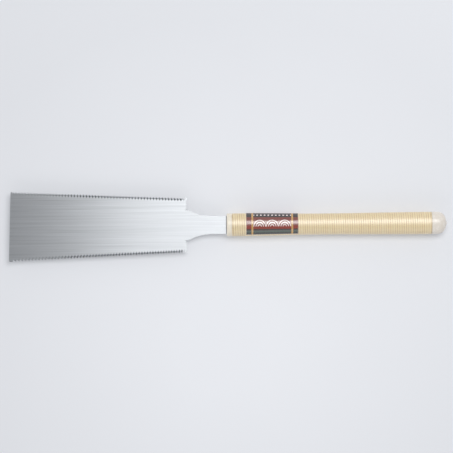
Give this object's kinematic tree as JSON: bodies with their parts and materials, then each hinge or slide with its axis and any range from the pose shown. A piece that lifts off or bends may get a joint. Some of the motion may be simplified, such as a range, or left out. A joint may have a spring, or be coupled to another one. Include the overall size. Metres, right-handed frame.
{
  "type": "ryoba saw",
  "caption": "Double-edged pull saw: a tapered steel blade toothed along both long edges, clamped in an oval cane-bound handle with a mouth cap and a domed butt cap.",
  "frame": {"origin": "on the saw's axis at the mouth of the handle, which is also the centre of its bounding box", "axes": "+X along the handle to the butt, the blade along -X; +Y towards the crosscut edge; +Z square to the blade, towards the near side of the handle"},
  "size_m": [0.5904, 0.0944, 0.0264],
  "materials": {
    "saw_steel": "cold-rolled carbon steel, ground and brushed lengthwise",
    "spring_steel": "folded spring steel, grey",
    "plated_steel": "zinc-plated machine screw",
    "brass": "solid rivet",
    "core_wood": "plain planed wood",
    "cream_plastic": "moulded, satin gloss",
    "white_plastic": "moulded, glossy",
    "cane": "split rattan cane, glossy skin outwards",
    "printed_paper": "printed and varnished paper"
  },
  "bodies": {
    "handle": {"core_near_half": "core_wood", "core_far_half": "core_wood", "blade_holder": "spring_steel", "holder_rivet_1": "brass", "holder_rivet_2": "brass", "lock_nut": "plated_steel", "front_cap": "cream_plastic", "cane_length_1": "cane", "cane_length_2": "cane", "cane_length_3": "cane", "cane_length_4": "cane", "label": "printed_paper", "butt_cap": "white_plastic"},
    "blade": {"blade": "saw_steel"},
    "lock_washer": {"lock_washer": "plated_steel"},
    "lock_screw": {"lock_screw": "plated_steel"}
  },
  "joints": [
    {"name": "blade_draw", "type": "slide", "parent": "handle", "child": "blade", "axis": [-1, 0, 0], "range_m": [0, 0.055]},
    {"name": "lock_travel", "type": "slide", "parent": "handle", "child": "lock_washer", "axis": [0, 0, -1], "range_m": [0, 0.001]},
    {"name": "lock_turn", "type": "hinge", "parent": "lock_washer", "child": "lock_screw", "pos_m": [0.00425, 0, 0], "axis": [0, 0, -1], "range_deg": [0, 721]}
  ],
  "couplings": [
    {"joint": "lock_turn", "follows": "lock_travel", "rad_per_m": 12566}
  ]
}
